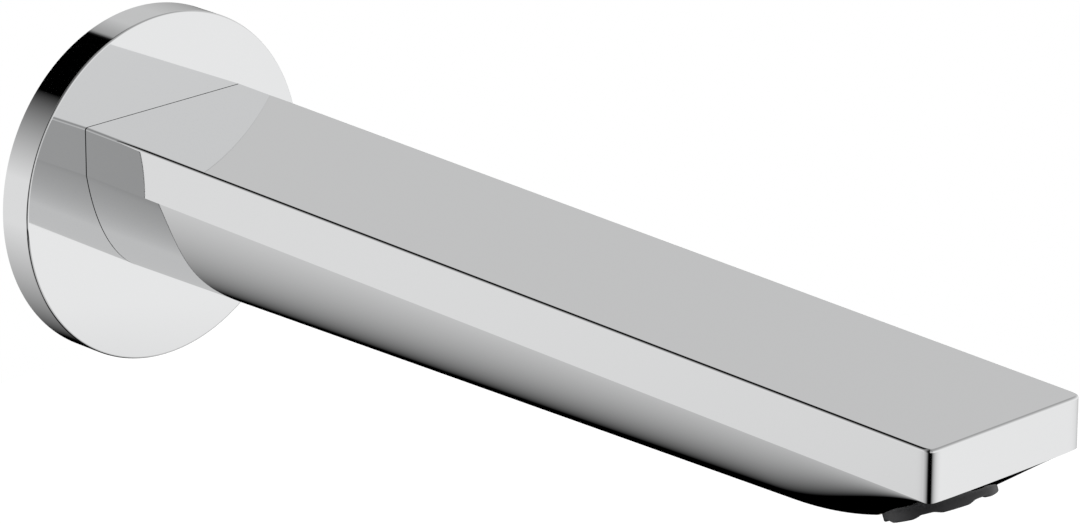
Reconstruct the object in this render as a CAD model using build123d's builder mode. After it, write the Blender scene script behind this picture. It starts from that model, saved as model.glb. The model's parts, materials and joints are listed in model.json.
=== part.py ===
from build123d import *
import os
from math import acos, asin, cos, degrees, hypot, radians, sin, sqrt, tan

# Wall-fixed bath spout, millimetres.
# +X leaves the wall, +Z is up, and the origin is the centre of the wall plate on the wall.

# Spout body, outside
nose_x = 226.9
half_width_wall = 20.0
half_width_nose = 19.4
top_wall = 16.5
top_nose = 11.9
band_height = 9.7
flank_angle = 10.0
flank_overrun = 0.08
side_overrun = 1.5
flank_pull = 0.57
floor_pull = 0.56
belly_bottom_wall = -16.5
belly_slope = 0.93
sweep_radius = 64.0
sweep_section_count = 10
nose_corner_reach = 3.8
nose_edge_break = 0.3
top_edge_radius = 0.6

# Spout body, inside
body_wall = 3.0
socket_depth = 31.7
shoulder_thick = 4.0
passage_radius = 7.7
chamber_end_x = 190.0
throat_radius = 8.5
throat_depth = 2.8
duct_half_width = 8.0
duct_height = 7.0
duct_corner_radius = 1.5

# Wall plate and its foam ring
plate_radius = 35.0
plate_thick = 7.3
plate_wall = 1.6
plate_edge_radius = 0.4
collar_wall = 2.0
collar_back = 1.6
foam_width = 3.4

# Neck of the spout, inside the plate's collar
neck_radius = 15.0
neck_back = 0.8
neck_fit = 0.15
neck_ring_x = 3.4

# Connection nipple
nipple_radius = 10.9
nipple_fit = 0.1
nipple_end_gap = 0.5
nipple_bore_radius = 5.9
hex_across_flats = 12.0
hex_depth = 12.0
flange_radius = 14.0
flange_thick = 3.0
flange_gap = 0.3
washer_thick = 2.0
thread_radius = 10.478
thread_length = 13.5
thread_chamfer = 1.0
relief_depth = 1.2

# Rubber rings and their grooves
groove_depth = 1.6
groove_width = 2.4
ring_play = 0.02
ring_inset = 4.0
ring_pitch = 5.0

# Grub screw, tightened from below close to the wall
grub_x = 17.0
grub_radius = 3.0
grub_fit = 0.05
grub_length = 6.0
grub_hex = 3.0
grub_hex_depth = 3.0
grub_point = 1.2
grub_groove_depth = 1.2

# Outlet: the jet axis leaves the belly at outlet_x, and s is measured outwards along it
outlet_x = 212.2
outlet_tilt = 23.0
outlet_depth = 11.7
outlet_thread_radius = 11.0
outlet_fit = 0.2

# Jet regulator: heights along the jet axis, from the water side outwards
gasket_thick = 1.5
filter_flange = 0.8
regulator_thick = 3.0
diffuser_thick = 1.2
diffuser_skirt = 1.6
screen_rim_thick = 0.6
grille_thick = 1.8
lip_thick = 0.9
rim_height = 2.6

# Jet regulator: widths and patterns
housing_wall = 1.4
stack_fit = 0.1
rim_radius = 10.3
lip_width = 0.9
key_slot_count = 6
key_slot_width = 3.6
key_slot_depth = 0.7
cell_pitch = 2.3
cell_flats = 1.9
screen_rim = 0.8
screen_thick = 0.3
screen_pitch = 1.3
screen_hole = 0.9
diffuser_row_pitch = 2.5
diffuser_row_count = 3
diffuser_holes_per_row = 6
diffuser_hole = 0.5
core_radius = 5.4
core_notch_count = 8
core_notch_radius = 0.6
channel_width = 2.2
channel_depth = 2.0
channel_hole_radius = 0.6
regulator_ring_radius = 0.8
dome_radius = 7.6
dome_height = 2.4
dome_wall = 0.7
dome_slot_count = 12
dome_slot_width = 0.8
dome_slot_inner = 2.6

# Values that follow from the sizes above
flank_slope = tan(radians(flank_angle))
socket_radius = nipple_radius + nipple_fit
socket_end_x = neck_back + socket_depth
chamber_start_x = socket_end_x + shoulder_thick
collar_radius = neck_radius + neck_fit
flange_front_x = neck_back - flange_gap
flange_back_x = flange_front_x - flange_thick
washer_back_x = flange_back_x - washer_thick
thread_back_x = washer_back_x - thread_length
nipple_front_x = socket_end_x - nipple_end_gap
outer_ring_x = nipple_front_x - ring_inset
inner_ring_x = outer_ring_x - ring_pitch
socket_thread_radius = outlet_thread_radius + outlet_fit


def blend(x, at_wall, at_nose):
    """A size that changes evenly from the wall plate to the nose."""
    return at_wall + (at_nose - at_wall) * (x - plate_thick) / (nose_x - plate_thick)


def top_at(x):
    """Height of the flat top."""
    return blend(x, top_wall, top_nose)


def crease_at(x):
    """Height of the line where the upright side band meets the belly."""
    return top_at(x) - band_height


# The belly's lowest line runs straight from the wall, then along one arc to the nose's lower edge
line_dir = Vector(cos(radians(belly_slope)), 0, sin(radians(belly_slope)))
line_up = Vector(-line_dir.Z, 0, line_dir.X)
belly_start = Vector(plate_thick, 0, belly_bottom_wall)
nose_low = Vector(nose_x, 0, crease_at(nose_x) - nose_edge_break)
nose_rise = (nose_low - belly_start).dot(line_up)
sweep_angle = acos(1 - nose_rise / sweep_radius)
straight_run = (nose_low - belly_start).dot(line_dir) - sweep_radius * sin(sweep_angle)
sweep_start = belly_start + line_dir * straight_run
sweep_centre = sweep_start + line_up * sweep_radius


def belly_at(x):
    """Height of the belly's lowest line."""
    if x <= sweep_start.X:
        return belly_start.Z + (x - plate_thick) * line_dir.Z / line_dir.X
    return sweep_centre.Z - sqrt(sweep_radius**2 - (x - sweep_centre.X) ** 2)


def belly_poles(x, inset=0.0, end=1.0):
    """Bezier poles of the belly's right half at x, from its lowest line to the crease, or on past it."""
    half = blend(x, half_width_wall, half_width_nose) - inset
    crease = crease_at(x)
    bottom = belly_at(x) + inset
    drop = flank_pull * (crease - bottom)
    flank_pole = (half - drop * flank_slope, crease - drop)
    poles = [Vector(pole) for pole in ((0, bottom), (floor_pull * half, bottom), flank_pole, (half, crease))]
    kept = []
    while poles:
        kept.append(poles[0])
        poles = [a + (b - a) * end for a, b in zip(poles, poles[1:])]
    return kept


def closed_section(x, right, corners):
    """Face across X: the belly's right half, its mirror image and the corners above them."""
    left = [Vector(-pole.X, pole.Y) for pole in right]
    with BuildSketch(Plane.YZ.offset(x)) as section:
        with BuildLine():
            Bezier(*reversed(left))
            Bezier(*right)
            Polyline(right[-1], *corners, left[-1])
        make_face()
    return section.sketch


def skin_section(x):
    """Section of the spout's outside, wider than its plan, so that the plan then trims the sides."""
    right = belly_poles(x, end=1 + flank_overrun)
    reach = blend(x, half_width_wall, half_width_nose) + side_overrun
    low, high = right[-1].Y, top_at(x)
    return closed_section(x, right, [(reach, low), (reach, high), (-reach, high), (-reach, low)])


def chamber_section(x):
    """Section of the water chamber, one wall inside the spout's outside."""
    right = belly_poles(x, inset=body_wall)
    side, high = right[-1].X, top_at(x) - body_wall
    return closed_section(x, right, [(side, high), (-side, high)])


def nose_corner(side):
    """Bezier poles of a nose corner in plan: its curvature grows from nothing and falls back to nothing."""
    corner = Vector(nose_x, side * half_width_nose)
    along_side = (Vector(plate_thick, side * half_width_wall) - corner).normalized()
    return [corner + along_side * nose_corner_reach, corner, corner, corner - Vector(0, side * nose_corner_reach)]


def spaced(low, high, steps):
    """Evenly spaced values from low to high."""
    return [low + (high - low) * step / steps for step in range(steps + 1)]


def across(x):
    """Plane across the spout, facing out of the wall."""
    return Plane.YZ.offset(x)


def disc(plane, radius, length, mode=Mode.ADD):
    """Round bar that starts on the plane and runs along its normal."""
    with BuildSketch(plane) as profile:
        Circle(radius)
    extrude(profile.sketch, amount=length, mode=mode)


def tube(plane, outer, inner, length, mode=Mode.ADD):
    """Ring that starts on the plane and runs along its normal."""
    with BuildSketch(plane) as profile:
        Circle(outer)
        Circle(inner, mode=Mode.SUBTRACT)
    extrude(profile.sketch, amount=length, mode=mode)


def groove(x, outer, depth, width):
    """Groove round a bar that lies along X, centred on x."""
    tube(across(x - width / 2), outer + depth, outer - depth, width, Mode.SUBTRACT)


def rubber_ring(x, inner, outer):
    """Rubber ring round X that fills the room between a groove's floor and the wall around it."""
    with BuildSketch(Plane.XY) as profile:
        with Locations((x, (outer + inner) / 2)):
            Circle((outer - inner) / 2 - ring_play)
    revolve(profile.sketch, axis=Axis.X)


def cell_centres(reach, pitch, row_pitch, stagger):
    """Centres of a pattern of cells. Every other row is shifted by the stagger, a share of the pitch."""
    rows = int(reach / row_pitch)
    columns = int(reach / pitch) + 1
    centres = [
        ((column + row % 2 * stagger) * pitch, row * row_pitch)
        for row in range(-rows, rows + 1)
        for column in range(-columns, columns + 1)
    ]
    return [centre for centre in centres if hypot(*centre) <= reach]


# Jet axis: it points out of the belly, forwards and down
outlet_point = Vector(outlet_x, 0, belly_at(outlet_x))
outlet_dir = Vector(sin(radians(outlet_tilt)), 0, -cos(radians(outlet_tilt)))
jet_axis = Axis(outlet_point, outlet_dir)
jet_radial = Plane(outlet_point, x_dir=(0, 1, 0), z_dir=Vector(0, 1, 0).cross(outlet_dir))


def jet(s):
    """Plane across the jet axis at distance s, facing outwards."""
    return Plane(outlet_point + outlet_dir * s, x_dir=(0, 1, 0), z_dir=outlet_dir)


# Places of the stacked pieces along the jet axis
gasket_s = -outlet_depth
filter_s = gasket_s + gasket_thick
regulator_s = filter_s + filter_flange
diffuser_s = regulator_s + regulator_thick
skirt_s = diffuser_s + diffuser_thick
upper_s = skirt_s + diffuser_skirt
lower_s = upper_s + screen_rim_thick
grille_s = lower_s + screen_rim_thick
lip_s = grille_s + grille_thick
rim_end_s = lip_s + lip_thick
rim_start_s = rim_end_s - rim_height
stack_radius = outlet_thread_radius - housing_wall - stack_fit

os.makedirs("parts", exist_ok=True)

# Spout body: one casting with its neck, socket, water chamber, outlet socket and grub screw hole
with BuildPart() as spout_body:
    loft([skin_section(x) for x in (plate_thick, sweep_start.X)], ruled=True)
    loft([skin_section(x) for x in spaced(sweep_start.X, nose_x, sweep_section_count)])
    with BuildSketch(Plane.XY.offset(2 * belly_bottom_wall)):
        with BuildLine():
            left = Bezier(*nose_corner(1))
            right = Bezier(*nose_corner(-1))
            Polyline(left @ 0, (plate_thick, half_width_wall), (plate_thick, -half_width_wall), right @ 0)
            Line(left @ 1, right @ 1)
        make_face()
    extrude(amount=2 * (top_wall - belly_bottom_wall), mode=Mode.INTERSECT)
    top_face = spout_body.faces().sort_by(Axis.Z)[-1]
    top_rim = [edge for edge in top_face.edges() if edge.center().X > plate_thick + top_edge_radius]
    fillet(top_rim, top_edge_radius)
    disc(across(neck_back), neck_radius, plate_thick - neck_back)
    groove(neck_ring_x, neck_radius, groove_depth, groove_width)
    disc(across(neck_back), socket_radius, socket_depth, Mode.SUBTRACT)
    disc(across(socket_end_x), passage_radius, shoulder_thick, Mode.SUBTRACT)
    chamber = [chamber_section(x) for x in (chamber_start_x, chamber_end_x)]
    loft(chamber, ruled=True, mode=Mode.SUBTRACT)
    with BuildSketch(across(chamber_end_x)):
        with Locations((0, top_at(chamber_end_x) - body_wall - duct_height / 2)):
            RectangleRounded(2 * duct_half_width, duct_height, duct_corner_radius)
    extrude(amount=jet(gasket_s).origin.X - chamber_end_x, mode=Mode.SUBTRACT)
    disc(jet(gasket_s - throat_depth), throat_radius, throat_depth, Mode.SUBTRACT)
    disc(jet(gasket_s), socket_thread_radius, outlet_depth + socket_thread_radius, Mode.SUBTRACT)
    with BuildSketch(Plane.XY):
        with Locations((grub_x, 0)):
            Circle(grub_radius + grub_fit)
    extrude(amount=2 * belly_bottom_wall, mode=Mode.SUBTRACT)
spout_body.part.label = "spout_body"
export_step(spout_body.part, "parts/spout_body.step")

# Wall plate: a shallow round cup with a collar that slides over the spout's neck
with BuildPart() as wall_plate:
    disc(across(0), plate_radius, plate_thick)
    fillet(wall_plate.edges().group_by(Axis.X)[-1], plate_edge_radius)
    disc(across(0), plate_radius - plate_wall, plate_thick - plate_wall, Mode.SUBTRACT)
    disc(across(collar_back), collar_radius + collar_wall, plate_thick - collar_back)
    disc(across(0), collar_radius, plate_thick, Mode.SUBTRACT)
wall_plate.part.label = "wall_plate"
export_step(wall_plate.part, "parts/wall_plate.step")

# Foam ring stuck inside the plate, flush with the wall
foam_outer = plate_radius - plate_wall
with BuildPart() as wall_plate_seal:
    tube(across(0), foam_outer, foam_outer - foam_width, plate_thick - plate_wall)
wall_plate_seal.part.label = "wall_plate_seal"
export_step(wall_plate_seal.part, "parts/wall_plate_seal.step")

# Rubber ring between the neck and the plate's collar
with BuildPart() as plate_o_ring:
    rubber_ring(neck_ring_x, neck_radius - groove_depth, collar_radius)
plate_o_ring.part.label = "plate_o_ring"
export_step(plate_o_ring.part, "parts/plate_o_ring.step")

# Connection nipple: pipe thread, washer seat, flange, ring grooves, grub screw groove, hexagon inside
with BuildPart() as connection_nipple:
    disc(across(thread_back_x), thread_radius, thread_length)
    chamfer(connection_nipple.edges().group_by(Axis.X)[0], thread_chamfer)
    disc(across(washer_back_x), thread_radius - relief_depth, washer_thick)
    disc(across(flange_back_x), flange_radius, flange_thick)
    disc(across(flange_front_x), nipple_radius, nipple_front_x - flange_front_x)
    groove(inner_ring_x, nipple_radius, groove_depth, groove_width)
    groove(outer_ring_x, nipple_radius, groove_depth, groove_width)
    groove(grub_x, nipple_radius, grub_groove_depth, 2 * (grub_radius + grub_fit))
    disc(across(thread_back_x), nipple_bore_radius, nipple_front_x - thread_back_x, Mode.SUBTRACT)
    with BuildSketch(across(nipple_front_x - hex_depth)):
        RegularPolygon(hex_across_flats / 2, 6, major_radius=False)
    extrude(amount=hex_depth, mode=Mode.SUBTRACT)
connection_nipple.part.label = "connection_nipple"
export_step(connection_nipple.part, "parts/connection_nipple.step")

# Two rubber rings that seal the nipple in the spout's socket
with BuildPart() as nipple_o_ring_inner:
    rubber_ring(inner_ring_x, nipple_radius - groove_depth, socket_radius)
nipple_o_ring_inner.part.label = "nipple_o_ring_inner"
export_step(nipple_o_ring_inner.part, "parts/nipple_o_ring_inner.step")

with BuildPart() as nipple_o_ring_outer:
    rubber_ring(outer_ring_x, nipple_radius - groove_depth, socket_radius)
nipple_o_ring_outer.part.label = "nipple_o_ring_outer"
export_step(nipple_o_ring_outer.part, "parts/nipple_o_ring_outer.step")

# Fibre washer behind the nipple's flange
with BuildPart() as inlet_washer:
    tube(across(washer_back_x), flange_radius, thread_radius - relief_depth + nipple_fit, washer_thick)
inlet_washer.part.label = "inlet_washer"
export_step(inlet_washer.part, "parts/inlet_washer.step")

# Grub screw: its point rests in the nipple's groove
grub_tip = Plane((grub_x, 0, grub_groove_depth - nipple_radius), x_dir=(1, 0, 0), z_dir=(0, 0, -1))
with BuildPart() as grub_screw:
    disc(grub_tip, grub_radius, grub_length)
    chamfer(grub_screw.edges().group_by(Axis.Z)[-1], grub_point)
    with BuildSketch(grub_tip.offset(grub_length - grub_hex_depth)):
        RegularPolygon(grub_hex / 2, 6, major_radius=False)
    extrude(amount=grub_hex_depth, mode=Mode.SUBTRACT)
grub_screw.part.label = "grub_screw"
export_step(grub_screw.part, "parts/grub_screw.step")

# Gasket that seals the jet regulator against the end of its socket
with BuildPart() as aerator_gasket:
    tube(jet(gasket_s), outlet_thread_radius, throat_radius, gasket_thick)
aerator_gasket.part.label = "aerator_gasket"
export_step(aerator_gasket.part, "parts/aerator_gasket.step")

# Housing: threaded sleeve, the rim with key slots that stands out, and the lip that holds the stack
with BuildPart() as aerator_housing:
    disc(jet(filter_s), outlet_thread_radius, rim_start_s - filter_s)
    disc(jet(rim_start_s), rim_radius, rim_height)
    disc(jet(filter_s), stack_radius + stack_fit, lip_s - filter_s, Mode.SUBTRACT)
    disc(jet(lip_s), stack_radius - lip_width, lip_thick, Mode.SUBTRACT)
    with BuildSketch(jet(rim_end_s - key_slot_depth)):
        with PolarLocations(rim_radius, key_slot_count, start_angle=180 / key_slot_count):
            Rectangle(2 * (rim_radius - stack_radius + lip_width), key_slot_width)
    extrude(amount=key_slot_depth, mode=Mode.SUBTRACT)
aerator_housing.part.label = "aerator_housing"
export_step(aerator_housing.part, "parts/aerator_housing.step")

# Filter: a slotted dome on a flat flange, bulging towards the incoming water
dome_sphere = (dome_radius**2 + dome_height**2) / (2 * dome_height)
dome_centre_s = filter_s - dome_height + dome_sphere
dome_angle = degrees(asin(dome_radius / dome_sphere))
dome_inner_angle = degrees(acos((dome_centre_s - regulator_s) / (dome_sphere - dome_wall)))
with BuildPart() as inlet_filter:
    with BuildSketch(jet_radial):
        with BuildLine():
            skin = CenterArc((0, dome_centre_s), dome_sphere, -90, dome_angle)
            lining = CenterArc((0, dome_centre_s), dome_sphere - dome_wall, -90, dome_inner_angle)
            Polyline(skin @ 1, (stack_radius, filter_s), (stack_radius, regulator_s), lining @ 1)
            Line(skin @ 0, lining @ 0)
        make_face()
    revolve(axis=jet_axis)
    dome_slot_length = dome_radius - dome_wall - dome_slot_inner
    with BuildSketch(jet(filter_s - dome_height)):
        with PolarLocations(dome_slot_inner + dome_slot_length / 2, dome_slot_count):
            SlotOverall(dome_slot_length, dome_slot_width)
    extrude(amount=dome_height + filter_flange, mode=Mode.SUBTRACT)
inlet_filter.part.label = "inlet_filter"
export_step(inlet_filter.part, "parts/inlet_filter.step")

# Flow regulator: a disc with a notched core in a ring channel
channel_radius = core_radius + channel_width / 2
with BuildPart() as regulator_body:
    disc(jet(regulator_s), stack_radius, regulator_thick)
    tube(jet(regulator_s), core_radius + channel_width, core_radius, channel_depth, Mode.SUBTRACT)
    with BuildSketch(jet(regulator_s)):
        with PolarLocations(core_radius, core_notch_count):
            Circle(core_notch_radius)
    extrude(amount=channel_depth, mode=Mode.SUBTRACT)
    with BuildSketch(jet(regulator_s)):
        with PolarLocations(channel_radius, core_notch_count):
            Circle(channel_hole_radius)
    extrude(amount=regulator_thick, mode=Mode.SUBTRACT)
regulator_body.part.label = "regulator_body"
export_step(regulator_body.part, "parts/regulator_body.step")

# Rubber ring that lies in the regulator's channel
with BuildPart() as regulator_ring:
    with BuildSketch(jet_radial):
        with Locations((channel_radius, regulator_s + channel_depth - regulator_ring_radius)):
            Circle(regulator_ring_radius)
    revolve(axis=jet_axis)
regulator_ring.part.label = "regulator_ring"
export_step(regulator_ring.part, "parts/regulator_ring.step")

# Diffuser plate: rows of holes, and a skirt that keeps it off the screens
with BuildPart() as diffuser_plate:
    disc(jet(diffuser_s), stack_radius, diffuser_thick)
    tube(jet(skirt_s), stack_radius, stack_radius - screen_rim, diffuser_skirt)
    with BuildSketch(jet(diffuser_s)):
        for row in range(1, diffuser_row_count + 1):
            with PolarLocations(row * diffuser_row_pitch, row * diffuser_holes_per_row):
                Circle(diffuser_hole)
    extrude(amount=diffuser_thick, mode=Mode.SUBTRACT)
diffuser_plate.part.label = "diffuser_plate"
export_step(diffuser_plate.part, "parts/diffuser_plate.step")


def screen(s):
    """Square mesh in a thicker rim."""
    hole_reach = stack_radius - screen_rim - screen_hole
    tube(jet(s), stack_radius, stack_radius - screen_rim, screen_rim_thick)
    disc(jet(s + (screen_rim_thick - screen_thick) / 2), stack_radius, screen_thick)
    with BuildSketch(jet(s)) as mesh:
        with Locations(*cell_centres(hole_reach, screen_pitch, screen_pitch, 0)):
            Rectangle(screen_hole, screen_hole)
    extrude(mesh.sketch, amount=screen_rim_thick, mode=Mode.SUBTRACT)


# Two screens that mix air into the jet
with BuildPart() as mixing_screen_upper:
    screen(upper_s)
mixing_screen_upper.part.label = "mixing_screen_upper"
export_step(mixing_screen_upper.part, "parts/mixing_screen_upper.step")

with BuildPart() as mixing_screen_lower:
    screen(lower_s)
mixing_screen_lower.part.label = "mixing_screen_lower"
export_step(mixing_screen_lower.part, "parts/mixing_screen_lower.step")

# Outlet grille: a honeycomb that the housing's lip holds
with BuildPart() as aerator_grille:
    disc(jet(grille_s), stack_radius, grille_thick)
    cell_reach = stack_radius - lip_width - cell_pitch / 2
    with BuildSketch(jet(grille_s)):
        with Locations(*cell_centres(cell_reach, cell_pitch, cell_pitch * sqrt(3) / 2, 0.5)):
            RegularPolygon(cell_flats / 2, 6, major_radius=False, rotation=30)
    extrude(amount=grille_thick, mode=Mode.SUBTRACT)
aerator_grille.part.label = "aerator_grille"
export_step(aerator_grille.part, "parts/aerator_grille.step")
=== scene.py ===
import json
from math import acos, asin, atan2, cos, pi, radians, sin, sqrt, tan

import bmesh
import bpy
from mathutils import Matrix, Vector


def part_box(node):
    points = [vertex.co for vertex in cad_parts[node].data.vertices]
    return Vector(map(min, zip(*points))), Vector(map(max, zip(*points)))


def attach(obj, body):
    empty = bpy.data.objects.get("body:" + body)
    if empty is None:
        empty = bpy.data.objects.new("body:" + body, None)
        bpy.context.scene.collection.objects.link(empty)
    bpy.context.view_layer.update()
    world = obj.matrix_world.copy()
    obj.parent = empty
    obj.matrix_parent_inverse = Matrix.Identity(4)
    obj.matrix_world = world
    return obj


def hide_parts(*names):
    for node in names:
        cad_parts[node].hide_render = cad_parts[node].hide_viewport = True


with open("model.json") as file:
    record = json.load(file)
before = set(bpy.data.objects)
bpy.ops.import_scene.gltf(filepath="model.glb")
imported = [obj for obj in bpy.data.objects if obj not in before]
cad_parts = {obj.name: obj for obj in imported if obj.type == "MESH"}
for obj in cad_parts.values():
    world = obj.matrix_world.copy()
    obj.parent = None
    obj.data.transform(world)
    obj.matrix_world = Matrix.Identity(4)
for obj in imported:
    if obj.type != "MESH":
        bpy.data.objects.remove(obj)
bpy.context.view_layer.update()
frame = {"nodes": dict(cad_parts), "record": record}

MM = 0.001

# Sizes are in millimetres and angles in degrees, the same as in the solids.
# Spout body
half_width_wall = 20.0
half_width_nose = 19.4
top_wall = 16.5
top_nose = 11.9
band_height = 9.7
flank_angle = 10.0
flank_pull = 0.57
floor_pull = 0.56
belly_bottom_wall = -16.5
belly_slope = 0.93
sweep_radius = 64.0
nose_corner_reach = 3.8
nose_edge_break = 0.3
top_edge_radius = 0.6
joint_gap = 0.15
body_wall = 3.0
shoulder_thick = 4.0
passage_radius = 7.7
chamber_end_x = 190.0
throat_radius = 8.5
throat_depth = 2.8
duct_half_width = 8.0
duct_height = 7.0
neck_radius = 15.0
neck_back = 0.8
neck_ring_x = 3.4
groove_depth = 1.6
groove_width = 2.4
socket_radius = 11.0
socket_end_x = 32.5
grub_x = 17.0
grub_hole_radius = 3.05
outlet_x = 212.2
outlet_tilt = 23.0
outlet_depth = 11.7
outlet_socket_radius = 11.2

# Jet regulator's housing: s runs along the jet axis, outwards from the belly's surface.
# Its key slots are eased and 0.2 mm shallower than the solid's, as the photo shows them.
housing_back_s = -10.2
rim_start_s = -2.3
lip_s = -0.6
rim_end_s = 0.3
housing_crest = 11.0
housing_thread_depth = 0.55
housing_pitch = 1.0
HOUSING_THREAD_STEPS = 8
rim_radius = 10.3
rim_round = 0.35
RIM_ARC_DEGREES = range(0, 91, 15)
lip_radius = 8.6
stack_bore_radius = 9.6
KEY_SLOTS = 6
key_slot_depth = 0.5
slot_share = 0.18
slot_ease = 0.4
HOUSING_SEGMENTS = 240

# Wall plate
plate_wall = 1.6
plate_edge_radius = 0.4
collar_radius = 15.15
collar_wall = 2.0
collar_back = 1.6
PLATE_EDGE_STEPS = 8
PLATE_SEGMENTS = 360

# Connection nipple
thread_pitch = 1.814
thread_crest = 10.478
thread_root = 9.316
thread_chamfer = 1.0
THREAD_STEPS = 12
THREAD_ROUNDING = 0.96
NIPPLE_SEGMENTS = 144
nipple_radius = 10.9
nipple_bore_radius = 5.9
hex_across_flats = 12.0
hex_depth = 12.0
flange_radius = 14.0
flange_thick = 3.0
grub_groove_depth = 1.2
socket_clearance = 0.1
edge_break = 0.25
washer_lap = 1.1

# Fineness of the meshes and of the searches on them
CORNER_STEPS = 28
STRAIGHT_ROWS = 60
SWEEP_ROWS = 48
BELLY_COLUMNS = 40
FILLET_STEPS = 6
CHAMBER_STEPS = 16
TURNED_SEGMENTS = 128
GRUB_SEGMENTS = 48
BODY_SHARP_ANGLE = 30
SPUN_SHARP_ANGLE = 38
BELLY_HALVINGS = 40
CORNER_HALVINGS = 24
NORMAL_STEP = 0.01

# How far the solids that are cut out or joined on run past the surface that they meet
cut_overrun = 1.0


def span(node):
    """Lowest and highest x of a node in millimetres."""
    low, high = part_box(node)
    return low.x / MM, high.x / MM


# Sizes that the frame gives
nipple_back_x, nipple_front_x = span("connection_nipple")
washer_back_x, flange_back_x = span("inlet_washer")
flange_front_x = flange_back_x + flange_thick
inner_ring_x = sum(span("nipple_o_ring_inner")) / 2
outer_ring_x = sum(span("nipple_o_ring_outer")) / 2
inlet_washer_bore = thread_crest - washer_lap
nose_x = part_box("spout_body")[1].x / MM
plate_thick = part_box("wall_plate")[1].x / MM
plate_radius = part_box("wall_plate")[1].y / MM

flank_slope = tan(radians(flank_angle))
side_turn = atan2(half_width_wall - half_width_nose, nose_x - plate_thick)


def blend(x, at_wall, at_nose):
    """A size that changes evenly from the wall plate to the nose."""
    return at_wall + (at_nose - at_wall) * (x - plate_thick) / (nose_x - plate_thick)


def half_at(x):
    """Half of the body's width."""
    return blend(x, half_width_wall, half_width_nose)


def top_at(x):
    """Height of the flat top."""
    return blend(x, top_wall, top_nose)


def crease_at(x):
    """Height of the line between the upright side band and the belly."""
    return top_at(x) - band_height


# The belly's lowest line: straight from the wall, then one arc up to the nose's lower edge
line_dir = Vector((cos(radians(belly_slope)), 0, sin(radians(belly_slope))))
line_up = Vector((-line_dir.z, 0, line_dir.x))
belly_start = Vector((plate_thick, 0, belly_bottom_wall))
nose_low = Vector((nose_x, 0, crease_at(nose_x) - nose_edge_break))
sweep_angle = acos(1 - (nose_low - belly_start).dot(line_up) / sweep_radius)
straight_run = (nose_low - belly_start).dot(line_dir) - sweep_radius * sin(sweep_angle)
sweep_start = belly_start + line_dir * straight_run
sweep_centre = sweep_start + line_up * sweep_radius


def belly_at(x):
    """Height of the belly's lowest line."""
    if x <= sweep_start.x:
        return belly_start.z + (x - plate_thick) * line_dir.z / line_dir.x
    return sweep_centre.z - sqrt(max(0, sweep_radius**2 - (x - sweep_centre.x) ** 2))


def belly_point(x, t, inset=0.0):
    """Point of the belly's section at x: t runs from 0 at the lowest line to 1 at the crease."""
    half = half_at(x) - inset
    crease = crease_at(x)
    bottom = belly_at(x) + inset
    drop = flank_pull * (crease - bottom)
    poles = (
        (0, bottom),
        (floor_pull * half, bottom),
        (half - drop * flank_slope, crease - drop),
        (half, crease),
    )
    weights = ((1 - t) ** 3, 3 * t * (1 - t) ** 2, 3 * t * t * (1 - t), t**3)
    y = sum(w * pole[0] for w, pole in zip(weights, poles))
    z = sum(w * pole[1] for w, pole in zip(weights, poles))
    return Vector((x, y, z))


def belly_t(x, y):
    """The belly parameter where the section at x is y wide."""
    low, high = 0.0, 1.0
    for _ in range(BELLY_HALVINGS):
        middle = (low + high) / 2
        if belly_point(x, middle).y < y:
            low = middle
        else:
            high = middle
    return (low + high) / 2


def belly_normal(x, y):
    """Outward normal of the belly at x and y."""
    side = 1 if y >= 0 else -1
    t = belly_t(x, abs(y))
    back = min(x, nose_x - NORMAL_STEP)
    along = belly_point(back + NORMAL_STEP, t) - belly_point(back, t)
    around = belly_point(x, t + NORMAL_STEP) - belly_point(x, max(0, t - NORMAL_STEP))
    normal = along.cross(around).normalized()
    if normal.z > 0:
        normal = -normal
    return Vector((normal.x, side * abs(normal.y), normal.z))


# Direction in plan from the nose along the side to the wall
along_side = Vector((plate_thick - nose_x, half_width_wall - half_width_nose)).normalized()
along_nose = Vector((0, -1))


def corner_station(t):
    """The nose corner's blend in plan, from t = 0 on the side to 1 on the nose face.

    Gives x, y and the outward normal's x and y.
    """
    corner = Vector((nose_x, half_width_nose))
    point = corner + (along_side * (1 - t) ** 3 + along_nose * t**3) * nose_corner_reach
    tangent = (along_nose * t**2 - along_side * (1 - t) ** 2).normalized()
    return point.x, point.y, -tangent.y, tangent.x


def plan_stations():
    """Half of the plan outline from the wall to the nose, as corner_station gives it."""
    tangent_x = corner_station(0)[0]
    start_x = plate_thick + joint_gap
    straight, swept = sweep_start.x - start_x, tangent_x - sweep_start.x
    rows = [start_x + straight * i / STRAIGHT_ROWS for i in range(STRAIGHT_ROWS)]
    rows += [sweep_start.x + swept * i / SWEEP_ROWS for i in range(SWEEP_ROWS)]
    stations = [(x, half_at(x), sin(side_turn), cos(side_turn)) for x in rows]
    return stations + [corner_station(i / CORNER_STEPS) for i in range(CORNER_STEPS + 1)]


def wall_normal(p):
    """Outward normal of the upright side band, the nose corners and the nose face."""
    low, high = 0.0, 1.0
    for _ in range(CORNER_HALVINGS):
        middle = (low + high) / 2
        x, y, nx, ny = corner_station(middle)
        if (p.x - x) * ny > (abs(p.y) - y) * nx:
            low = middle
        else:
            high = middle
    return Vector((nx, ny if p.y >= 0 else -ny, 0))


TOP_NORMAL = Vector((top_wall - top_nose, 0, nose_x - plate_thick)).normalized()
KIND_COUNT = 6
KIND_TOP, KIND_FILLET, KIND_WALL, KIND_BELLY, KIND_END, KIND_INSIDE = range(KIND_COUNT)


def mesh_of(bm, name):
    """The bmesh as a new mesh."""
    mesh = bpy.data.meshes.new(name)
    bm.to_mesh(mesh)
    bm.free()
    return mesh


def shade_smooth(mesh):
    """Every face smooth, before sharp edges or exact normals are set."""
    for polygon in mesh.polygons:
        polygon.use_smooth = True


def new_object(name, mesh):
    """Object of a mesh, camera or light, in the scene."""
    piece = bpy.data.objects.new(name, mesh)
    bpy.context.scene.collection.objects.link(piece)
    return piece


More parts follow.
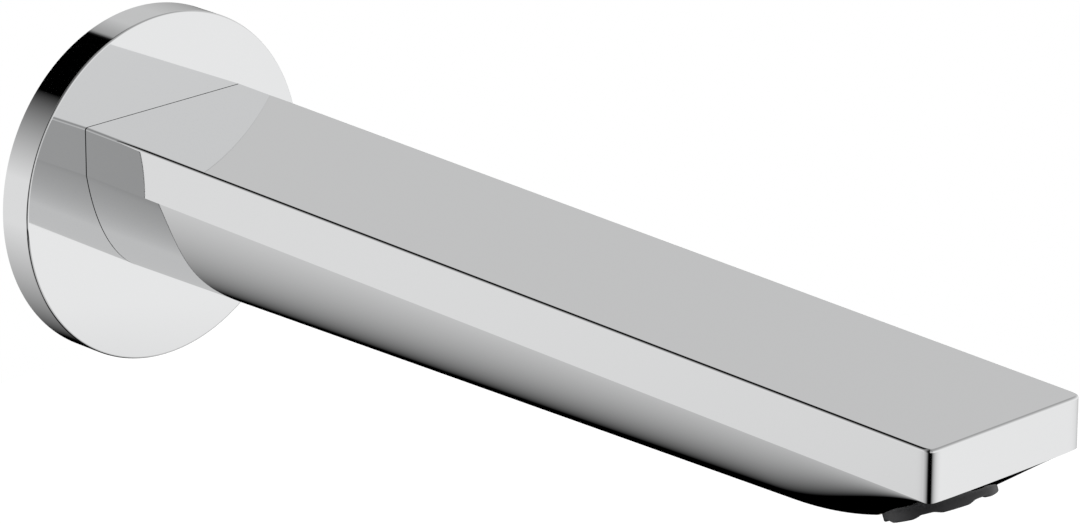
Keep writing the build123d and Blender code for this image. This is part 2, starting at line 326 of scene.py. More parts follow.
def body_skin():
    """Closed mesh of the spout's outside. A face's material index says which surface it lies on."""
    bm = bmesh.new()
    stations = plan_stations()
    belly, fillets = [], []

    def vert(p):
        return bm.verts.new(Vector(p) * MM)

    for x, y, nx, ny in stations:
        t_edge = belly_t(x, y)
        row = [belly_point(x, t_edge * j / BELLY_COLUMNS) for j in range(BELLY_COLUMNS + 1)]
        row[-1].y = y
        left = [vert((p.x, -p.y, p.z)) for p in reversed(row[1:])]
        belly.append(left + [vert(p) for p in row])
        sides = []
        for side in (-1, 1):
            arc = []
            for k in range(FILLET_STEPS + 1):
                angle = pi / 2 * k / FILLET_STEPS
                pull = top_edge_radius * (1 - cos(angle))
                px, py = x - nx * pull, side * (y - ny * pull)
                arc.append(vert((px, py, top_at(px) - top_edge_radius * (1 - sin(angle)))))
            sides.append(arc)
        fillets.append(sides)
    faces = []
    last = len(stations) - 1

    def face(kind, verts):
        faces.append((bm.faces.new(verts), kind))

    for i in range(last):
        for j in range(2 * BELLY_COLUMNS):
            near, far = belly[i], belly[i + 1]
            face(KIND_BELLY, (near[j], near[j + 1], far[j + 1], far[j]))
        for s, edge in ((0, 0), (1, -1)):
            near, far = fillets[i][s], fillets[i + 1][s]
            face(KIND_WALL, (belly[i][edge], belly[i + 1][edge], far[0], near[0]))
            for k in range(FILLET_STEPS):
                face(KIND_FILLET, (near[k], far[k], far[k + 1], near[k + 1]))
    right, left = fillets[last]
    face(KIND_WALL, belly[last] + [left[0], right[0]])
    for k in range(FILLET_STEPS):
        face(KIND_FILLET, (right[k], left[k], left[k + 1], right[k + 1]))
    rim = [sides[0][-1] for sides in fillets] + [sides[1][-1] for sides in reversed(fillets)]
    face(KIND_TOP, rim)
    face(KIND_END, belly[0] + fillets[0][1] + list(reversed(fillets[0][0])))
    bmesh.ops.recalc_face_normals(bm, faces=bm.faces)
    for f, kind in faces:
        f.material_index = kind
    return mesh_of(bm, "spout_skin")


def turned(name, profile, frame_matrix, segments=TURNED_SEGMENTS):
    """Closed solid of revolution. The profile's points are (height along the axis, radius)."""
    bm = bmesh.new()
    rings = []
    for height, radius in profile:
        if radius == 0:
            rings.append([bm.verts.new(frame_matrix @ (Vector((0, 0, height)) * MM))])
            continue
        ring = []
        for k in range(segments):
            angle = 2 * pi * k / segments
            p = Vector((radius * cos(angle), radius * sin(angle), height)) * MM
            ring.append(bm.verts.new(frame_matrix @ p))
        rings.append(ring)
    for a, b in zip(rings, rings[1:]):
        for k in range(segments):
            n = (k + 1) % segments
            corners = [a[k % len(a)], a[n % len(a)], b[n % len(b)], b[k % len(b)]]
            unique = list(dict.fromkeys(corners))
            if len(unique) > 2:
                bm.faces.new(unique).material_index = KIND_INSIDE
    bmesh.ops.recalc_face_normals(bm, faces=bm.faces)
    return new_object(name, mesh_of(bm, name))


# Frame whose z is the part's X, for what is turned about the spout's inlet
ALONG_X = Matrix(((0, 0, 1, 0), (1, 0, 0, 0), (0, 1, 0, 0), (0, 0, 0, 1)))


def jet_matrix():
    """Frame of the jet axis: z outwards along it, from the belly surface."""
    out = Vector((sin(radians(outlet_tilt)), 0, -cos(radians(outlet_tilt))))
    side = Vector((0, 1, 0))
    other = out.cross(side)
    matrix = Matrix((side, other, out)).transposed().to_4x4()
    matrix.translation = Vector((outlet_x, 0, belly_at(outlet_x))) * MM
    return matrix


def prism(name, sections):
    """Closed solid between sections that have as many points each."""
    bm = bmesh.new()
    rings = [[bm.verts.new(Vector(p) * MM) for p in section] for section in sections]
    for a, b in zip(rings, rings[1:]):
        for k in range(len(a)):
            n = (k + 1) % len(a)
            bm.faces.new((a[k], a[n], b[n], b[k]))
    bm.faces.new(rings[0])
    bm.faces.new(rings[-1])
    bmesh.ops.recalc_face_normals(bm, faces=bm.faces)
    for f in bm.faces:
        f.material_index = KIND_INSIDE
    return new_object(name, mesh_of(bm, name))


def chamber_section(x):
    """Section of the water chamber, a wall's thickness inside the outside."""
    half = half_at(x) - body_wall
    steps = range(CHAMBER_STEPS + 1)
    right = [belly_point(x, j / CHAMBER_STEPS, body_wall) for j in steps]
    left = [Vector((p.x, -p.y, p.z)) for p in reversed(right[1:])]
    top = top_at(x) - body_wall
    return left + right + [Vector((x, half, top)), Vector((x, -half, top))]


def duct_section(x):
    """Section of the flat duct from the chamber to the outlet."""
    top = top_at(chamber_end_x) - body_wall
    half, low = duct_half_width, top - duct_height
    return [(x, y, z) for y, z in ((-half, top), (half, top), (half, low), (-half, low))]


def carve(piece, tool, operation="DIFFERENCE"):
    """Boolean of the piece with the tool, applied, and the tool removed."""
    modifier = piece.modifiers.new("carve", "BOOLEAN")
    modifier.operation = operation
    modifier.solver = "EXACT"
    modifier.object = tool
    depsgraph = bpy.context.evaluated_depsgraph_get()
    result = bpy.data.meshes.new_from_object(piece.evaluated_get(depsgraph))
    piece.modifiers.clear()
    old = piece.data
    piece.data = result
    bpy.data.meshes.remove(old)
    bpy.data.objects.remove(tool)


def kind_materials(piece):
    """One placeholder material for each kind, so that kinds live through a boolean."""
    for k in range(KIND_COUNT):
        name = f"kind_{k}"
        material = bpy.data.materials.get(name) or bpy.data.materials.new(name)
        piece.data.materials.append(material)


def skin_normal(p, kind):
    """Exact outward normal of the outside at p, or zero where the mesh's own normal stays."""
    if kind == KIND_TOP:
        return TOP_NORMAL
    if kind == KIND_WALL:
        return wall_normal(p)
    if kind == KIND_BELLY:
        return belly_normal(p.x, p.y)
    if kind == KIND_FILLET:
        outward = wall_normal(p)
        rise = (p.z - top_at(p.x) + top_edge_radius) / top_edge_radius
        rise = min(1, max(0, rise))
        return (outward * sqrt(1 - rise * rise) + TOP_NORMAL * rise).normalized()
    return Vector((0, 0, 0))


def body_neck():
    """The round neck behind the body, with its ring groove, that goes through the wall plate."""
    ring_low = neck_ring_x - groove_width / 2
    ring_high = neck_ring_x + groove_width / 2
    groove_radius = neck_radius - groove_depth
    neck_end = plate_thick + cut_overrun
    profile = (
        (neck_back, 0),
        (neck_back, neck_radius),
        (ring_low, neck_radius),
        (ring_low, groove_radius),
        (ring_high, groove_radius),
        (ring_high, neck_radius),
        (neck_end, neck_radius),
        (neck_end, 0),
    )
    return turned("neck", profile, ALONG_X)


def body_hollows():
    """What is cut out of the body: its socket, the waterway, the outlet and the screw hole."""
    chamber_start_x = socket_end_x + shoulder_thick
    socket_back, passage_end = neck_back - cut_overrun, chamber_start_x + cut_overrun
    socket = (
        (socket_back, 0),
        (socket_back, socket_radius),
        (socket_end_x, socket_radius),
        (socket_end_x, passage_radius),
        (passage_end, passage_radius),
        (passage_end, 0),
    )
    throat_end = -outlet_depth - throat_depth
    mouth = (
        (throat_end, 0),
        (throat_end, throat_radius),
        (-outlet_depth, throat_radius),
        (-outlet_depth, outlet_socket_radius),
        (outlet_socket_radius, outlet_socket_radius),
        (outlet_socket_radius, 0),
    )
    grub = ((0, 0), (0, grub_hole_radius), (-plate_radius, grub_hole_radius), (-plate_radius, 0))
    duct_ends = (chamber_end_x - cut_overrun, outlet_x - outlet_depth / 2)
    return [
        turned("socket", socket, ALONG_X),
        prism("chamber", [chamber_section(x) for x in (chamber_start_x, chamber_end_x)]),
        prism("duct", [duct_section(x) for x in duct_ends]),
        turned("mouth", mouth, jet_matrix()),
        turned("grub", grub, Matrix.Translation((grub_x * MM, 0, 0)), segments=GRUB_SEGMENTS),
    ]


def spout_body():
    """The casting, chromed outside and bare brass where it is hollow."""
    piece = new_object("spout_body_chrome", body_skin())
    kind_materials(piece)
    neck = body_neck()
    kind_materials(neck)
    carve(piece, neck, "UNION")
    for tool in body_hollows():
        kind_materials(tool)
        carve(piece, tool)
    mesh = piece.data
    shade_smooth(mesh)
    mesh.set_sharp_from_angle(angle=radians(BODY_SHARP_ANGLE))
    normals = [Vector((0, 0, 0))] * len(mesh.loops)
    for polygon in mesh.polygons:
        if polygon.material_index in (KIND_END, KIND_INSIDE):
            continue
        for loop in polygon.loop_indices:
            point = mesh.vertices[mesh.loops[loop].vertex_index].co / MM
            normals[loop] = skin_normal(point, polygon.material_index)
    kinds = [polygon.material_index for polygon in mesh.polygons]
    mesh.materials.clear()
    mesh.materials.append(chrome())
    mesh.materials.append(cast_brass())
    for polygon, kind in zip(mesh.polygons, kinds):
        polygon.material_index = 1 if kind == KIND_INSIDE else 0
    mesh.normals_split_custom_set(normals)
    finish_piece(piece, "spout_body")


def finish_piece(piece, node):
    """The piece stands in for a CAD node, which is hidden, and hangs under the root body."""
    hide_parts(node)
    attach(piece, "root")


def profile_line(a, b):
    """Straight stretch of a turned profile with its normal at both ends."""
    run = Vector(b) - Vector(a)
    normal = Vector((-run.y, run.x)).normalized()
    return [(Vector(a), Vector(b), normal, normal)]


def profile_arc(centre, radius, start, stop, steps):
    """Round stretch of a turned profile, from angle start to stop in degrees."""
    spans = []
    for k in range(steps):
        ends = []
        for share in (k / steps, (k + 1) / steps):
            angle = radians(start + (stop - start) * share)
            ends.append(Vector((cos(angle), sin(angle))))
        points = [Vector(centre) + end * radius for end in ends]
        spans.append((*points, *ends))
    return spans


def ring_of_spans(name, spans, segments):
    """Turned ring about X from profile spans in (x, radius), with exact normals."""
    bm = bmesh.new()
    rings = {}

    def about_x(point, k):
        angle = 2 * pi * k / segments
        return Vector((point.x, point.y * cos(angle), point.y * sin(angle)))

    def ring(point):
        key = (round(point.x, 5), round(point.y, 5))
        if key not in rings:
            rings[key] = [bm.verts.new(about_x(point, k) * MM) for k in range(segments)]
        return rings[key]

    corner_normals = []
    for a, b, normal_a, normal_b in spans:
        ring_a, ring_b = ring(a), ring(b)
        for k in range(segments):
            n = (k + 1) % segments
            bm.faces.new((ring_a[k], ring_a[n], ring_b[n], ring_b[k]))
            for normal, step in ((normal_a, k), (normal_a, n), (normal_b, n), (normal_b, k)):
                corner_normals.append(about_x(normal, step))
    mesh = mesh_of(bm, name)
    shade_smooth(mesh)
    mesh.normals_split_custom_set(corner_normals)
    return mesh


def wall_plate():
    """The cover plate: a shallow cup, open at the back, with a collar round the body's neck."""
    edge = plate_radius - plate_edge_radius
    inner = plate_radius - plate_wall
    recess = plate_thick - plate_wall
    collar = collar_radius + collar_wall
    face_x = plate_thick - plate_edge_radius
    rim = ((0, inner), (0, plate_radius), (face_x, plate_radius))
    front_and_back = (
        (plate_thick, edge),
        (plate_thick, collar_radius),
        (collar_back, collar_radius),
        (collar_back, collar),
        (recess, collar),
        (recess, inner),
        (0, inner),
    )
    spans = []
    for a, b in zip(rim, rim[1:]):
        spans += profile_line(a, b)
    spans += profile_arc((face_x, edge), plate_edge_radius, 90, 0, PLATE_EDGE_STEPS)
    for a, b in zip(front_and_back, front_and_back[1:]):
        spans += profile_line(a, b)
    name = "wall_plate_chrome"
    piece = new_object(name, ring_of_spans(name, spans, PLATE_SEGMENTS))
    piece.data.materials.append(chrome())
    finish_piece(piece, "wall_plate")


def thread_wave(turns):
    """Height of a thread with eased flanks, 1 at a crest and -1 at a root."""
    return asin(THREAD_ROUNDING * cos(2 * pi * turns)) / asin(THREAD_ROUNDING)


def thread_outline(turn):
    """Outer line of the pipe thread at a share of a turn, as x and radius up to the washer."""
    points = []
    length = washer_back_x - nipple_back_x
    count = round(length / thread_pitch * THREAD_STEPS)
    for i in range(count + 1):
        x = nipple_back_x + length * i / count
        wave = thread_wave(x / thread_pitch - turn)
        radius = (thread_crest + thread_root) / 2 + (thread_crest - thread_root) / 2 * wave
        points.append((x, min(radius, thread_crest - thread_chamfer + x - nipple_back_x)))
    return points


def hexagon_radius(turn):
    """Distance from the axis to the side of the hexagon socket at a share of a turn."""
    return hex_across_flats / 2 / cos((turn * 2 * pi + pi / 6) % (pi / 3) - pi / 6)


def nipple_outline(turn):
    """Closed outline of the nipple at a share of a turn, as x and radius."""
    relief = inlet_washer_bore - socket_clearance
    line = thread_outline(turn)
    line += [(washer_back_x, relief), (flange_back_x, relief)]
    line += [(flange_back_x, flange_radius - edge_break)]
    line += [(flange_back_x + edge_break, flange_radius)]
    line += [(flange_front_x - edge_break, flange_radius)]
    line += [(flange_front_x, flange_radius - edge_break), (flange_front_x, nipple_radius)]
    grooves = [(grub_x, grub_hole_radius, grub_groove_depth)]
    grooves += [(ring_x, groove_width / 2, groove_depth) for ring_x in (inner_ring_x, outer_ring_x)]
    for centre, half, depth in grooves:
        line += [(centre - half, nipple_radius), (centre - half, nipple_radius - depth)]
        line += [(centre + half, nipple_radius - depth), (centre + half, nipple_radius)]
    hex_end_x = nipple_front_x - hex_depth
    line += [(nipple_front_x - edge_break, nipple_radius)]
    line += [(nipple_front_x, nipple_radius - edge_break)]
    line += [(nipple_front_x, hexagon_radius(turn)), (hex_end_x, hexagon_radius(turn))]
    line += [(hex_end_x, nipple_bore_radius), (nipple_back_x, nipple_bore_radius)]
    return line


def spun(name, outline, frame_matrix, segments, node, slot):
    """Ring in place of a node, whose closed outline of heights and radii changes with the turn."""
    bm = bmesh.new()
    rows = []
    for k in range(segments):
        angle = 2 * pi * k / segments
        row = []
        for height, radius in outline(k / segments):
            point = Vector((radius * cos(angle), radius * sin(angle), height)) * MM
            row.append(bm.verts.new(frame_matrix @ point))
        rows.append(row)
    for a, b in zip(rows, rows[1:] + rows[:1]):
        for i in range(len(a)):
            n = (i + 1) % len(a)
            bm.faces.new((a[i], b[i], b[n], a[n]))
    bmesh.ops.recalc_face_normals(bm, faces=bm.faces)
    mesh = mesh_of(bm, name)
    shade_smooth(mesh)
    mesh.set_sharp_from_angle(angle=radians(SPUN_SHARP_ANGLE))
    mesh.materials.append(FINISHES[slot])
    finish_piece(new_object(name, mesh), node)


def rim_end(turn):
    """Where the housing's rim ends along the jet axis: rounded tabs with key slots between them."""
    from_slot = abs(turn * KEY_SLOTS % 1 - 0.5) * 2
    share = min(1, max(0, (from_slot - slot_share) / slot_ease))
    return rim_end_s - key_slot_depth * (1 - share * share * (3 - 2 * share))


def housing_outline(turn):
    """Closed outline of the jet regulator's housing at a share of a turn, as s and radius."""
    end = rim_end(turn)
    length = rim_start_s - housing_back_s
    count = round(length / housing_pitch * HOUSING_THREAD_STEPS)
    line = []
    for i in range(count + 1):
        s = housing_back_s + length * i / count
        wave = thread_wave(s / housing_pitch - turn)
        radius = housing_crest - housing_thread_depth * (1 - wave) / 2
        line.append((s, min(radius, housing_crest - housing_thread_depth + s - housing_back_s)))
    line.append((rim_start_s, rim_radius))
    for a in RIM_ARC_DEGREES:
        back, inwards = rim_round * (1 - sin(radians(a))), rim_round * (1 - cos(radians(a)))
        line.append((end - back, rim_radius - inwards))
    for a in RIM_ARC_DEGREES:
        back, outwards = rim_round * (1 - cos(radians(a))), rim_round * (1 - sin(radians(a)))
        line.append((end - back, lip_radius + outwards))
    line += [(lip_s, lip_radius), (lip_s, stack_bore_radius), (housing_back_s, stack_bore_radius)]
    return line


# Materials: base colours are linear, grains are the noise's scale, depths are in metres
NOISE_DETAIL = 2.0
mirror_color = (0.93, 0.935, 0.94, 1)
mirror_roughness = (0.015, 0.04)
mirror_grain = 140
cast_color = (0.42, 0.32, 0.15, 1)
cast_roughness = (0.35, 0.6)
cast_grain = 900
cast_bump_grain = 2500
cast_bump_strength = 0.4
cast_bump_depth = 0.0001
shade_spread = 0.15
gloss_spread = 0.08
SHADE_GRAIN_SHARE = 0.25
BUMP_GRAIN_SHARE = 3
plain_bump_strength = 0.3


def shader(name):
    """New node material and its Principled shader."""
    material = bpy.data.materials.new(name)
    material.use_nodes = True
    return material, material.node_tree, material.node_tree.nodes["Principled BSDF"]


def noise(tree, scale):
    """Noise on the piece's own coordinates."""
    texture = tree.nodes.new("ShaderNodeTexNoise")
    coordinates = tree.nodes.new("ShaderNodeTexCoord")
    tree.links.new(coordinates.outputs["Object"], texture.inputs["Vector"])
    texture.inputs["Scale"].default_value = scale
    texture.inputs["Detail"].default_value = NOISE_DETAIL
    return texture.outputs["Fac"]


def spread(tree, value, low, high):
    """The value, taken from 0..1 to low..high."""
    node = tree.nodes.new("ShaderNodeMapRange")
    tree.links.new(value, node.inputs["Value"])
    node.inputs["To Min"].default_value = low
    node.inputs["To Max"].default_value = high
    return node.outputs["Result"]


def bump(tree, principled, height, strength, distance):
    """Bump of the height, so many metres deep, on the shader's normal."""
    node = tree.nodes.new("ShaderNodeBump")
    node.inputs["Strength"].default_value = strength
    node.inputs["Distance"].default_value = distance
    tree.links.new(height, node.inputs["Height"])
    tree.links.new(node.outputs["Normal"], principled.inputs["Normal"])


def chrome():
    """Polished chrome plate: a mirror with a trace of unevenness in its polish."""
    if bpy.data.materials.get("polished_chrome"):
        return bpy.data.materials["polished_chrome"]
    material, tree, principled = shader("polished_chrome")
    principled.inputs["Base Color"].default_value = mirror_color
    principled.inputs["Metallic"].default_value = 1.0
    gloss = spread(tree, noise(tree, mirror_grain), *mirror_roughness)
    tree.links.new(gloss, principled.inputs["Roughness"])
    return material


def cast_brass():
    """Bare brass inside the casting, rough where it was cored."""
    material, tree, principled = shader("cast_brass")
    principled.inputs["Base Color"].default_value = cast_color
    principled.inputs["Metallic"].default_value = 1.0
    gloss = spread(tree, noise(tree, cast_grain), *cast_roughness)
    tree.links.new(gloss, principled.inputs["Roughness"])
    bump(tree, principled, noise(tree, cast_bump_grain), cast_bump_strength, cast_bump_depth)
    return material


def plain(name, color, roughness, grain, depth, metallic=0.0):
    """A moulded or sawn material: an even colour, uneven gloss and a fine grain."""
    material, tree, principled = shader(name)
    shade = tree.nodes.new("ShaderNodeMix")
    shade.data_type = "RGBA"
    tree.links.new(noise(tree, grain * SHADE_GRAIN_SHARE), shade.inputs["Factor"])
    shade.inputs["A"].default_value = (*[c * (1 - shade_spread) for c in color], 1)
    shade.inputs["B"].default_value = (*[min(1, c * (1 + shade_spread)) for c in color], 1)
    tree.links.new(shade.outputs["Result"], principled.inputs["Base Color"])
    principled.inputs["Metallic"].default_value = metallic
    low, high = roughness - gloss_spread, roughness + gloss_spread
    gloss = spread(tree, noise(tree, grain), low, high)
    tree.links.new(gloss, principled.inputs["Roughness"])
    bump(tree, principled, noise(tree, grain * BUMP_GRAIN_SHARE), plain_bump_strength, depth)
    return material


# Material of each slot: colour, roughness, grain, the grain's depth, metal or not
FINISHES = {
    "brass": plain("turned_brass", (0.72, 0.53, 0.25), 0.3, 900, 0.00004, 1.0),
    "steel": plain("satin_steel", (0.56, 0.56, 0.57), 0.32, 1200, 0.00003, 1.0),
    "black_rubber": plain("black_rubber", (0.02, 0.02, 0.021), 0.6, 1500, 0.00005),
    "foam": plain("black_foam", (0.045, 0.045, 0.05), 0.9, 1100, 0.0004),
    "fibre": plain("red_fibre", (0.3, 0.09, 0.05), 0.7, 700, 0.0001),
    "dark_plastic": plain("dark_plastic", (0.028, 0.028, 0.03), 0.42, 1300, 0.00004),
    "grey_plastic": plain("grey_plastic", (0.12, 0.12, 0.125), 0.42, 1300, 0.00004),
    "pale_plastic": plain("pale_plastic", (0.75, 0.75, 0.73), 0.42, 1300, 0.00004),
}


def finish_nodes():
    """Each remaining CAD node gets the material of its slot."""
    slots = {part["node"]: part["material_slot"] for part in frame["record"]["subparts"]}
    for node, piece in frame["nodes"].items():
        if slots[node] in FINISHES:
            piece.data.materials.clear()
            piece.data.materials.append(FINISHES[slots[node]])


# Camera, fitted to the photograph: the focal length is in pixels of the 1080 x 524 frame, and the
# offset is the plate's face seen from the camera, in millimetres to the right, down and ahead
IMAGE_WIDTH = 1080
SENSOR_WIDTH = 36.0
camera_azimuth = 45.775
camera_elevation = 19.76
camera_roll = 0.146
focal_pixels = 6272.0
camera_offset = Vector((-73.112, -14.935, 1224.576))


def photo_camera():
    """The photograph's viewpoint."""
    a, e, r = radians(camera_azimuth), radians(camera_elevation), radians(camera_roll)
    back = Vector((sin(a) * cos(e), -cos(a) * cos(e), sin(e)))
    level_right = Vector((cos(a), sin(a), 0))
    level_up = back.cross(level_right)
    right = cos(r) * level_right + sin(r) * level_up
    up = -sin(r) * level_right + cos(r) * level_up
    view = Matrix((right, -up, -back))
    place = -(view.transposed() @ camera_offset) + Vector((plate_thick, 0, 0))
    data = bpy.data.cameras.new("photo_camera")
    data.sensor_width = SENSOR_WIDTH
    data.lens = data.sensor_width * focal_pixels / IMAGE_WIDTH
    camera = new_object("photo_camera", data)
    matrix = Matrix((right, up, back)).transposed().to_4x4()
    matrix.translation = place * MM
    camera.matrix_world = matrix
    bpy.context.scene.camera = camera


# Plain studio that only glossy rays see: six round greys, as sRGB levels, with straight fades
# between the angles given here in degrees
WHITE = 0.9
LIGHT = 0.85
SOFT = 0.75
GREY = 0.6
DARK = 0.1
BLACK = 0.0
# Round the X axis from +Y to +Z, for directions towards the wall: a soft ceiling between two
# black cards, and a light side on the right:
WALL_SIDE = (
    (-180, LIGHT), (-150, LIGHT), (-50, BLACK), (-20, BLACK), (-17, GREY), (26, SOFT), (50, SOFT),
    (66, GREY), (69, BLACK), (121, BLACK), (180, LIGHT),
)
# Round the Z axis from +X to +Y, for directions away from the wall, with a dark card:
ROOM_SIDE = (
    (-180, LIGHT), (-120, LIGHT), (-80, DARK), (-55, DARK), (-40, GREY), (-31, GREY), (-4, LIGHT),
    (14, WHITE), (112, WHITE), (180, LIGHT),
)
# The same, below the band that the upright faces mirror:
FLOOR_SIDE = (
    (-180, LIGHT), (-120, GREY), (-90, DARK), (-44, DARK), (-31, GREY), (-8, SOFT), (112, SOFT),
    (180, LIGHT),
)
# The same, in that band, with its black card:
NOSE_BAND = (
    (-180, LIGHT), (-130, LIGHT), (-80, DARK), (-65, BLACK), (-17, BLACK), (47, WHITE),
    (131, GREY), (180, GREY),
)
# Soft edges of the studio's parts, as (from, to, share at from, share at to).
# On the height z of a direction of length 1:
FLOOR_DARK = (-0.90, -0.80, 0.02, 1.0)
CEILING_DIM = (0.05, 0.3, 1.0, 0.77)
CEILING_DIMMER = (0.35, 0.7, 1.0, 0.55)
BAND_TOP = (-0.356, -0.344, 1, 0)
BAND_BOTTOM = (-0.43, -0.41, 0, 1)
ROOM_OVER_FLOOR = (-0.44, -0.42, 0, 1)
UPPER_HALF = (-0.25, 0.0, 0, 1)
CARD_TURN_FADES = (-0.6, -0.2, 1.0, 0.0)
BEHIND_CAMERA_UP = (-0.32, -0.26, 0, 0.96)
# On its y:
RIGHT_HALF = (-0.05, 0.1, 1, 0)
LEFT_HALF = (-0.1, 0.1, 0, 1)
# On its x, away from the wall:
ROOM_BEFORE_WALL = (-0.52, -0.40, 0, 1)
BAND_BEFORE_WALL = (-0.52, -0.44, 0, 1)
# On its angle round the Z axis:
BEHIND_CAMERA_RIGHT = (-120, -90, 0, 1)
BEHIND_CAMERA_LEFT = (-56, -46, 1, 0)

# The wall side's dark card turns round the X axis from this x on, up to its edge
card_turn_start = -0.73
card_turn = 100.0
card_turn_square = 780.0
card_edge = -32.0
# Towards the left, the room and the band begin at other values of x
room_shift_left = 0.22
band_shift_left = 0.14
upper_right_level = 0.75
# Share of the light that the polished metal gives back
mirror_share = 0.93
HALF_TURN = 180.0


def linear(level):
    """Linear value of an sRGB level."""
    return level / 12.92 if level <= 0.04045 else ((level + 0.055) / 1.055) ** 2.4


def number(tree, operation, *values):
    """Math node on sockets and plain numbers."""
    node = tree.nodes.new("ShaderNodeMath")
    node.operation = operation
    for socket, value in zip(node.inputs, values):
        if isinstance(value, (int, float)):
            socket.default_value = value
        else:
            tree.links.new(value, socket)
    return node.outputs["Value"]


def product(tree, first, *others):
    """Product of sockets and plain numbers."""
    result = first
    for other in others:
        result = number(tree, "MULTIPLY", result, other)
    return result


def eased(tree, value, low, high, at_low, at_high):
    """Map Range node, held at its ends."""
    node = tree.nodes.new("ShaderNodeMapRange")
    tree.links.new(value, node.inputs["Value"])
    sizes = {"From Min": low, "From Max": high, "To Min": at_low, "To Max": at_high}
    for name, size in sizes.items():
        node.inputs[name].default_value = size
    return node.outputs["Result"]


def mixed(tree, share, a, b, blend_type="MIX"):
    """Mix node of two colours, each a socket or a plain grey."""
    node = tree.nodes.new("ShaderNodeMix")
    node.data_type = "RGBA"
    node.blend_type = blend_type
    for name, value in (("Factor", share), ("A", a), ("B", b)):
        if not isinstance(value, (int, float)):
            tree.links.new(value, node.inputs[name])
        elif name == "Factor":
            node.inputs[name].default_value = value
        else:
            node.inputs[name].default_value = (value, value, value, 1)
    return node.outputs["Result"]


def light_ring(tree, degrees_socket, stops):
    """Colour ramp over a full turn from levels at angles in degrees."""
    node = tree.nodes.new("ShaderNodeValToRGB")
    place = eased(tree, degrees_socket, -HALF_TURN, HALF_TURN, 0, 1)
    tree.links.new(place, node.inputs["Fac"])
    elements = node.color_ramp.elements
    while len(elements) > 1:
        elements.remove(elements[-1])
    for k, (angle, level) in enumerate(stops):
        position = (angle + HALF_TURN) / (2 * HALF_TURN)
        element = elements[0] if k == 0 else elements.new(position)
        element.position = position
        grey = linear(level) / mirror_share
        element.color = (grey, grey, grey, 1)
    return node.outputs["Color"]


def studio(tree):
    """Level of the studio's light in a direction, as the polished metal mirrors it."""
    direction = tree.nodes.new("ShaderNodeTexCoord").outputs["Generated"]
    parts = tree.nodes.new("ShaderNodeSeparateXYZ")
    tree.links.new(direction, parts.inputs["Vector"])
    x, y, z = parts.outputs
    around_x = product(tree, number(tree, "ARCTAN2", z, y), HALF_TURN / pi)
    around_z = product(tree, number(tree, "ARCTAN2", y, x), HALF_TURN / pi)

    # The wall side, with its turned card
    reach = number(tree, "MAXIMUM", number(tree, "SUBTRACT", x, card_turn_start), 0.0)
    linear_part = product(tree, reach, card_turn)
    square_part = product(tree, reach, reach, card_turn_square)
    turn = number(tree, "ADD", linear_part, square_part)
    turn = product(tree, turn, eased(tree, z, *CARD_TURN_FADES))
    left_to_edge = number(tree, "MAXIMUM", number(tree, "SUBTRACT", card_edge, around_x), 0.0)
    turn = number(tree, "MINIMUM", turn, left_to_edge)
    wall_side = light_ring(tree, number(tree, "ADD", around_x, turn), WALL_SIDE)

    # The room, dark below, dimmer above and dark behind the camera
    room_share = eased(tree, z, *ROOM_OVER_FLOOR)
    floor_side = light_ring(tree, around_z, FLOOR_SIDE)
    room = mixed(tree, room_share, floor_side, light_ring(tree, around_z, ROOM_SIDE))
    upper_right = product(tree, eased(tree, z, *UPPER_HALF), eased(tree, y, *RIGHT_HALF))
    room = mixed(tree, upper_right, room, linear(upper_right_level) / mirror_share)
    low = eased(tree, z, *FLOOR_DARK)
    high = product(tree, eased(tree, z, *CEILING_DIM), eased(tree, z, *CEILING_DIMMER))
    behind_camera = product(
        tree,
        eased(tree, around_z, *BEHIND_CAMERA_RIGHT),
        eased(tree, around_z, *BEHIND_CAMERA_LEFT),
        eased(tree, z, *BEHIND_CAMERA_UP),
    )
    shade = product(tree, low, high, number(tree, "SUBTRACT", 1.0, behind_camera))
    room = mixed(tree, 1.0, room, shade, "MULTIPLY")

    # Both together, and the band in front of them
    towards_left = eased(tree, y, *LEFT_HALF)
    room_x = number(tree, "SUBTRACT", x, product(tree, towards_left, room_shift_left))
    level = mixed(tree, eased(tree, room_x, *ROOM_BEFORE_WALL), wall_side, room)
    band_x = number(tree, "ADD", x, product(tree, towards_left, band_shift_left))
    in_band = product(
        tree,
        eased(tree, z, *BAND_TOP),
        eased(tree, z, *BAND_BOTTOM),
        eased(tree, band_x, *BAND_BEFORE_WALL),
    )
    return mixed(tree, in_band, level, light_ring(tree, around_z, NOSE_BAND))


# Light on all that isn't mirrored, and the floor, in metres
soft_level = 0.75
key_energy = 0.8
key_width = 50
key_tilt = (12, 10)
floor_half = 3.0
floor_height = -1.5
floor_color = (0.97, 0.97, 0.97, 1)
floor_roughness = 0.9
floor_glow = 0.1


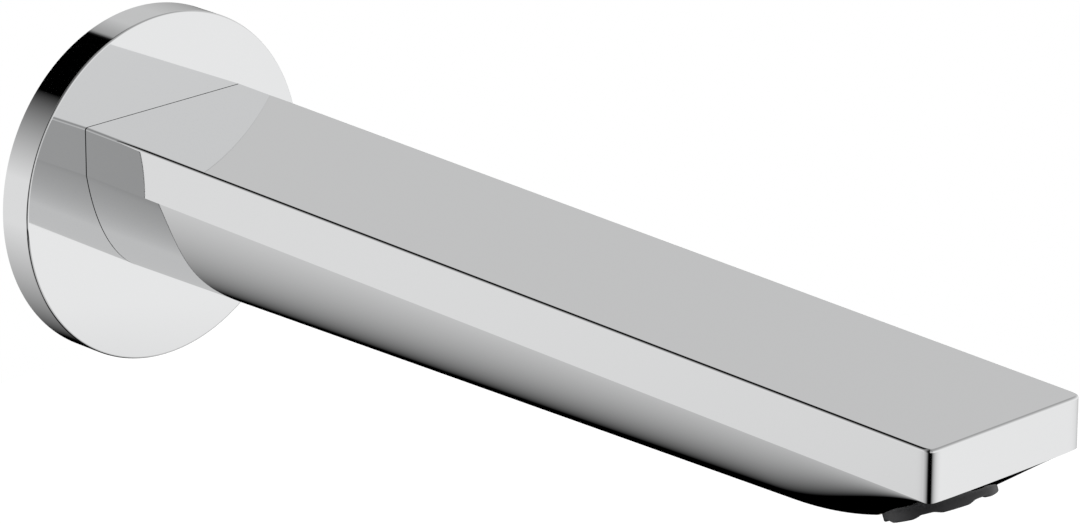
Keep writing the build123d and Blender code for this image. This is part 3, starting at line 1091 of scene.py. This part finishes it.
def world_light():
    """White for the camera, the studio for what mirrors, and an even soft light on the rest."""
    world = bpy.data.worlds.new("studio")
    bpy.context.scene.world = world
    world.use_nodes = True
    tree = world.node_tree
    path = tree.nodes.new("ShaderNodeLightPath")

    def background(strength, color=None):
        node = tree.nodes.new("ShaderNodeBackground")
        node.inputs["Color"].default_value = (1, 1, 1, 1)
        node.inputs["Strength"].default_value = strength
        if color:
            tree.links.new(color, node.inputs["Color"])
        return node.outputs["Background"]

    def choose(ray, if_not, if_so):
        node = tree.nodes.new("ShaderNodeMixShader")
        tree.links.new(path.outputs[ray], node.inputs["Fac"])
        tree.links.new(if_not, node.inputs[1])
        tree.links.new(if_so, node.inputs[2])
        return node.outputs["Shader"]

    mirrored = choose("Is Glossy Ray", background(soft_level), background(1.0, studio(tree)))
    seen = choose("Is Camera Ray", mirrored, background(1.0))
    tree.links.new(seen, tree.nodes["World Output"].inputs["Surface"])
    tree.nodes.remove(tree.nodes["Background"])


def key_light():
    """One wide soft light from above."""
    data = bpy.data.lights.new("soft_key", "SUN")
    data.energy = key_energy
    data.angle = radians(key_width)
    key = new_object("soft_key", data)
    key.rotation_euler = (radians(key_tilt[0]), radians(key_tilt[1]), 0)
    key.visible_glossy = False


def floor():
    """Plain pale floor, white for the camera and clear from underneath."""
    bm = bmesh.new()
    corners = ((-1, -1), (1, -1), (1, 1), (-1, 1))
    bm.faces.new([bm.verts.new((x * floor_half, y * floor_half, floor_height)) for x, y in corners])
    mesh = mesh_of(bm, "studio_floor")
    material, tree, principled = shader("pale_floor")
    principled.inputs["Base Color"].default_value = floor_color
    principled.inputs["Roughness"].default_value = floor_roughness
    principled.inputs["Specular IOR Level"].default_value = 0.0
    principled.inputs["Emission Color"].default_value = (1, 1, 1, 1)
    path = tree.nodes.new("ShaderNodeLightPath")
    glow = product(tree, path.outputs["Is Camera Ray"], floor_glow)
    tree.links.new(glow, principled.inputs["Emission Strength"])
    from_below = tree.nodes.new("ShaderNodeMixShader")
    geometry = tree.nodes.new("ShaderNodeNewGeometry")
    clear = tree.nodes.new("ShaderNodeBsdfTransparent")
    tree.links.new(geometry.outputs["Backfacing"], from_below.inputs["Fac"])
    tree.links.new(principled.outputs["BSDF"], from_below.inputs[1])
    tree.links.new(clear.outputs["BSDF"], from_below.inputs[2])
    surface = tree.nodes["Material Output"].inputs["Surface"]
    tree.links.new(from_below.outputs["Shader"], surface)
    mesh.materials.append(material)
    piece = new_object("studio_floor", mesh)
    piece.visible_glossy = False


spout_body()
wall_plate()
spun("connection_nipple_turned", nipple_outline, ALONG_X, NIPPLE_SEGMENTS,
     "connection_nipple", "brass")
spun("aerator_housing_moulded", housing_outline, jet_matrix(), HOUSING_SEGMENTS,
     "aerator_housing", "dark_plastic")
finish_nodes()
photo_camera()
world_light()
key_light()
floor()
bpy.context.scene.view_settings.view_transform = "Standard"
